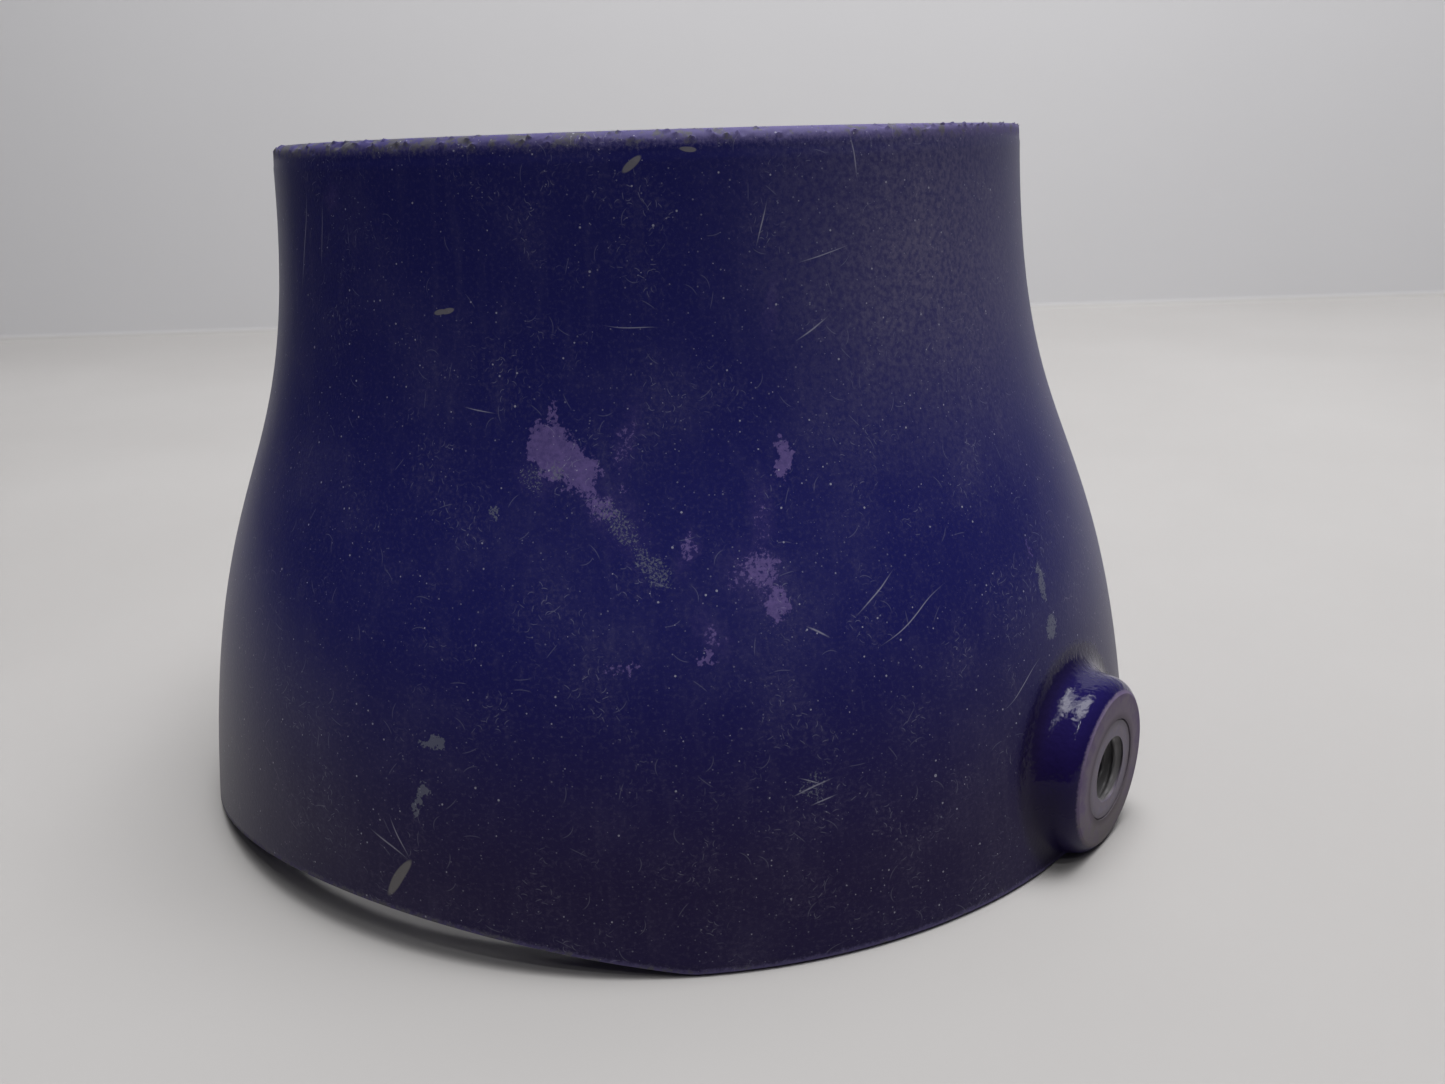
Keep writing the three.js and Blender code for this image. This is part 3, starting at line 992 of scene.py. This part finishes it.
# %% Plastic: colour
CREASE_RADIUS = 11.4  # in mm, the foot of the boss
DYE = (0.012, 0.0125, 0.098, 1)
DYE_IN_PAINTED_SHADE = (0.0105, 0.0052, 0.045, 1)
FILM_AND_SHEEN_TINT = (0.215, 0.195, 0.265, 1)
SCUFF = (0.125, 0.088, 0.26, 1)
GREY_SCUFF = (0.14, 0.15, 0.19, 1)
RUBBED = (0.13, 0.11, 0.25, 1)
GRIME = (0.1, 0.1, 0.09, 1)
PALE_DUST = (0.42, 0.42, 0.5, 1)
CREASE_SHADE_TINT = (0.011, 0.0075, 0.022, 1)
HUSK = (0.22, 0.21, 0.19, 1)
MAUVE = (0.19, 0.158, 0.205, 1)
MAUVE_WORN = (0.135, 0.1, 0.19, 1)
FACE_DIRT = (0.14, 0.13, 0.12, 1)
GROOVE_PAINTED_SHADE = (0.05, 0.042, 0.05, 1)
INSIDE_FILM = (0.06, 0.055, 0.11, 1)
# painted shade: a dark ring in the crease round the foot of each boss
painted_crease_shade = violet.math("ABSOLUTE", violet.math("SUBTRACT", from_axis, CREASE_RADIUS))
painted_crease_shade = violet.times(violet.band(painted_crease_shade, 1.9, 0.5), boss_side)
layers = [
    # the dust film, with painted sheen on the flanks and a painted highlight on one shoulder
    (violet.times(film_and_sheen, exposed), FILM_AND_SHEEN_TINT),
    (violet.times(pale_scuffs, exposed, violet.plus(0.35, mottle, 0.55)), SCUFF),
    (violet.times(smears, exposed, mottle, 0.17), SCUFF),
    (violet.times(grey_scuffs, exposed, 0.6), GREY_SCUFF),
    # rubbed edges: real wear, made paler on the right as painted light
    (violet.times(rubbed, violet.plus(0.38, painted_light_from_right, 0.42)), RUBBED),
    # grime at the rubbed edges: real grime, heavier on the left as painted shade
    (violet.times(grime_and_shade_on_left, rubbed, 0.75), GRIME),
    (violet.times(fibre_field, exposed, 0.13), PALE_DUST),
    (violet.times(scratches, exposed, 0.45), PALE_DUST),
    (violet.times(grain_field, exposed, 0.55), PALE_DUST),
    (violet.times(husks, 0.6), HUSK),
    # painted shade in the crease round each boss
    (violet.times(painted_crease_shade, 0.6), CREASE_SHADE_TINT),
    (violet.times(is_inside, violet.band(clouds, 0.25, 0.7), 0.6), INSIDE_FILM),
]
# the bell darkens towards its rim: painted shade, blended into the dye's colour
colour = violet.blend(violet.band(height, 34.0, 6.0), DYE, DYE_IN_PAINTED_SHADE)
for share, tint in layers:
    colour = violet.blend(share, colour, tint)
face_stain = violet.noise(place, 0.45, detail=5.0, roughness=0.65)
worn_outwards = violet.band(violet.plus(face_stain, from_axis, 0.12), 1.25, 1.65)
face_tone = violet.blend(worn_outwards, MAUVE, MAUVE_WORN)
low_on_face = violet.band(violet.plus(height, face_stain, 14.0), 16.0, 6.0)
face_tone = violet.blend(violet.times(low_on_face, 0.8), face_tone, FACE_DIRT)
# painted shade: a dark ring on the boss face, round the insert's groove
from_groove = violet.math("ABSOLUTE", violet.math("SUBTRACT", from_axis, INSERT_RADIUS / MM))
face_tone = violet.blend(violet.times(violet.band(from_groove, 1.0, 0.0), 0.5), face_tone, GROOVE_PAINTED_SHADE)
colour = violet.blend(boss_face, colour, face_tone)
violet.feed(violet.shader.inputs["Base Color"], colour)

# %% Plastic: gloss and relief
dull = violet.most(film_and_sheen, pale_scuffs, rubbed, boss_face)
roughness = violet.plus(0.33, dull, 0.36)
roughness = violet.plus(roughness, clean_gloss, -0.27)
violet.feed(violet.shader.inputs["Roughness"], roughness)
relief = violet.noise(place, 2.6, detail=3.0, roughness=0.6)
ripples = violet.noise(place, 1.4, detail=1.0)
ripples = violet.times(clean_gloss, violet.math("SUBTRACT", ripples, 0.5))
relief = violet.plus(relief, ripples, 3.2)
bump = {"Strength": 0.35, "Distance": 0.06 * MM, "Height": relief}
violet.feed(violet.shader.inputs["Normal"], violet.add("Bump", bump))
violet.shader.inputs["Specular IOR Level"].default_value = 0.15
violet.coat(bell)
print("Plastic finish:", len(violet.tree.nodes), "nodes")

# %% [markdown]
# ## Dull insert metal
# The inserts are brass under a grey stain. The thread is darker, because dirt packs into its grooves.
# A dark ring round the outer edge of each insert is painted shade, for the groove there.

# %% Insert metal
METAL_TONE = (0.135, 0.115, 0.18, 1)
METAL_STAINED = (0.18, 0.15, 0.19, 1)
THREAD_DIRT = (0.17, 0.165, 0.17, 1)
metal = Finish("insert_metal")
metal_place = metal.spot(MM)
metal_x, metal_y, metal_height = metal.parts("XYZ", metal_place)
stain = metal.noise(metal_place, 0.9, detail=5.0, roughness=0.65)
depth = metal.math("SUBTRACT", INSERT_FRONT / MM, metal.math("ABSOLUTE", metal_x))
tone = metal.blend(metal.band(stain, 0.3, 0.7), METAL_TONE, METAL_STAINED)
# painted shade: a dark ring round the insert's outer edge, in the groove by the boss
from_groove = metal.math("SUBTRACT", INSERT_RADIUS / MM, metal.from_boss_axis(metal_y, metal_height))
tone = metal.blend(metal.times(metal.band(from_groove, 1.1, 0.0), 0.5), tone, GROOVE_PAINTED_SHADE)
tone = metal.blend(metal.band(depth, 0.02, 0.35), tone, THREAD_DIRT)
metal.feed(metal.shader.inputs["Base Color"], tone)
metal.feed(metal.shader.inputs["Roughness"], metal.math("ADD", 0.38, metal.times(stain, 0.3)))
metal.shader.inputs["Metallic"].default_value = 0.25
metal_bump = {"Strength": 0.3, "Distance": 0.2 * MM, "Height": stain}
metal.feed(metal.shader.inputs["Normal"], metal.add("Bump", metal_bump))
metal.coat(*inserts)

# %% [markdown]
# ## Stage and light
# The stage is a pale floor that turns up into a pale wall behind the bell. Light comes from a wide soft
# box overhead, a little to the right. A second one washes the wall, and four small ones, high in front,
# put the crisp glints on the near boss.

# %% Stage
WALL_BEHIND = 0.41
WALL_HEIGHT = 0.6
STAGE_LEFT = 0.46  # a narrow left side leaves that flank of the bell nothing pale to mirror
STAGE_RIGHT = 1.1
STAGE_FRONT = 0.65
COVE = 3 * MM
STAGE_DOWN = 0.1 * MM  # the worn rim dips this far below its nominal plane
stage = start_piece("stage", bpy.ops.mesh.primitive_plane_add, size=1)
bpy.ops.transform.resize(value=(STAGE_LEFT + STAGE_RIGHT, WALL_BEHIND + STAGE_FRONT, 1))
stage_middle = ((STAGE_RIGHT - STAGE_LEFT) / 2, (WALL_BEHIND - STAGE_FRONT) / 2, 0)
bpy.ops.transform.translate(value=stage_middle)
pick(stage, "EDGE", lambda edge: min(point.co.y for point in edge.verts) > WALL_BEHIND - MM)
bpy.ops.mesh.extrude_edges_move(TRANSFORM_OT_translate={"value": (0, 0, WALL_HEIGHT)})
pick(stage, "EDGE", lambda edge: all(p.co.y > WALL_BEHIND - MM and p.co.z < MM for p in edge.verts))
bpy.ops.mesh.bevel(offset=COVE, segments=6)
clear_selection()
stage.data.transform(Matrix.Translation((0, 0, -STAGE_DOWN)) @ Matrix.Rotation(CAMERA_TURN, 4, "Z"))
FLOOR_TONE = (0.37, 0.358, 0.352, 1)
WALL_TONE = (0.62, 0.615, 0.63, 1)
CHALK = (0.8, 0.8, 0.8, 1)
pale = Finish("pale_paint")
pale_place = pale.add("TexCoord", {}, output="Object")
up_the_wall = pale.band(pale.parts("XYZ", pale_place)[2], 0.2 * COVE, COVE)
pale_tone = pale.blend(up_the_wall, FLOOR_TONE, WALL_TONE)
pale_mottle = pale.band(pale.noise(pale_place, 6.0, detail=5.0), 0.35, 0.7)
pale_tone = pale.blend(pale.times(pale_mottle, 0.06), pale_tone, CHALK)
pale.feed(pale.shader.inputs["Base Color"], pale_tone)
pale.shader.inputs["Roughness"].default_value = 0.7
pale.coat(stage)


# %% Lights
def soft_box(name, place, width, depth, energy, aim=(0, 0, HEIGHT / 2)):
    """A rectangular lamp. Its place and aim are given from the camera's side."""
    lamp = bpy.data.objects.new(name, bpy.data.lights.new(name, "AREA"))
    bpy.context.scene.collection.objects.link(lamp)
    lamp.data.shape = "RECTANGLE"
    lamp.data.size = width
    lamp.data.size_y = depth
    lamp.data.energy = energy
    turned = Matrix.Rotation(CAMERA_TURN, 3, "Z")
    lamp.location = turned @ Vector(place)
    lamp.rotation_euler = (turned @ Vector(aim) - lamp.location).to_track_quat("-Z", "Y").to_euler()


soft_box("overhead", (0.12, 0.01, 1.0), 0.7, 0.5, 7.4)
soft_box("wall_wash", (0.15, 0.02, 0.8), 0.6, 0.3, 4.9, aim=(0.05, 0.41, 0.18))
GLINTS = [(-0.01, -0.5, 0.6), (0.12, -0.5, 0.6), (-0.08, -0.76, 0.35), (0.155, -0.74, 0.3)]
GLINT_SIZE = (0.018, 0.03)
for number, (across, ahead, power) in enumerate(GLINTS, 1):
    soft_box(f"glint_{number}", (across, ahead, 1.0), *GLINT_SIZE, power)

# %% World
# The room round the stage is dark, so that it adds no grey to the dark plastic, but it is seen as pale.
ROOM_LIGHT = (0.03, 0.031, 0.035, 1)
ROOM_SEEN = (0.41, 0.405, 0.41, 1)
world = bpy.data.worlds.new("studio")
bpy.context.scene.world = world
world.use_nodes = True
room = world.node_tree
seen = room.nodes.new("ShaderNodeBackground")
seen.inputs["Color"].default_value = ROOM_SEEN
room.nodes["Background"].inputs["Color"].default_value = ROOM_LIGHT
either = room.nodes.new("ShaderNodeMixShader")
ray = room.nodes.new("ShaderNodeLightPath")
room.links.new(ray.outputs["Is Camera Ray"], either.inputs[0])
room.links.new(room.nodes["Background"].outputs[0], either.inputs[1])
room.links.new(seen.outputs[0], either.inputs[2])
room.links.new(either.outputs[0], room.nodes["World Output"].inputs["Surface"])
